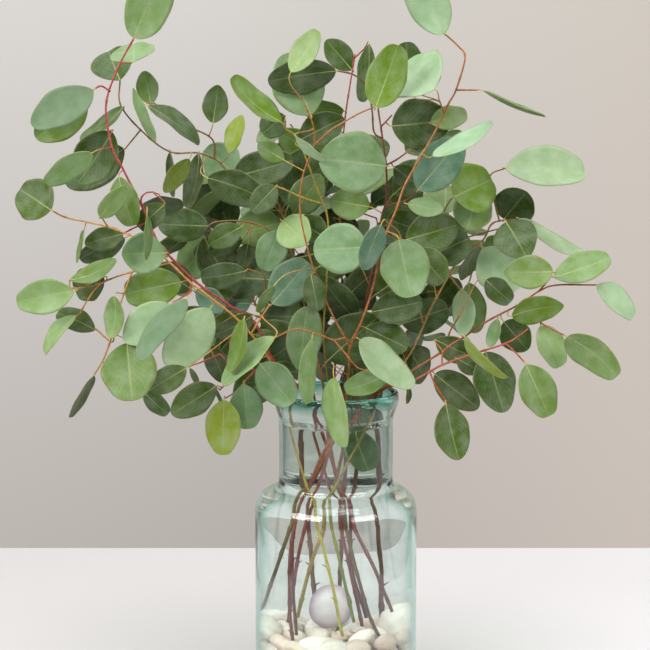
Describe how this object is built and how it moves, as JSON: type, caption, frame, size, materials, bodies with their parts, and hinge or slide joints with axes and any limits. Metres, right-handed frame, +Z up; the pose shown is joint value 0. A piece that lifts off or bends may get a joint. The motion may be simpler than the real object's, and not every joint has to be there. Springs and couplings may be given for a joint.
{
  "type": "eucalyptus branches in a glass jar",
  "caption": "Leafy silver-dollar eucalyptus branches standing in a glass jar of water over a bed of shells; a free-standing arrangement that rests on its flat base.",
  "frame": {"origin": "centre of the jar's flat base, where it rests", "axes": "+Z up along the jar's axis, -Y towards the front of the arrangement, +X to its right"},
  "size_m": [0.5983, 0.3306, 0.7279],
  "materials": {
    "jar_glass": "clear recycled glass with a pale green tint, seeds and soft waves",
    "water": "clear still water",
    "shells": "white and cream seashells and pebbles, matt",
    "eucalyptus_leaf": "soft waxy grey-green leaf with a pale bloom",
    "eucalyptus_bark": "smooth red-brown to yellow-green young bark"
  },
  "bodies": {
    "root": {"jar": "jar_glass", "water": "water", "shell_bed": "shells", "round_shell": "shells", "white_shell_right": "shells", "white_shell_left": "shells", "white_shell_front": "shells", "branch_tall_left": "eucalyptus_leaf", "branch_mid_left": "eucalyptus_leaf", "branch_low_right": "eucalyptus_leaf", "branch_far_right": "eucalyptus_leaf", "branch_centre_pink": "eucalyptus_leaf", "branch_centre_orange": "eucalyptus_leaf", "branch_front_yellow": "eucalyptus_leaf", "branch_right": "eucalyptus_leaf", "branch_centre_dark": "eucalyptus_leaf", "branch_centre_yellow": "eucalyptus_leaf", "branch_low_left": "eucalyptus_leaf", "branch_rear_left": "eucalyptus_leaf", "branch_rear_middle": "eucalyptus_leaf", "branch_rear_right": "eucalyptus_leaf"}
  },
  "joints": []
}
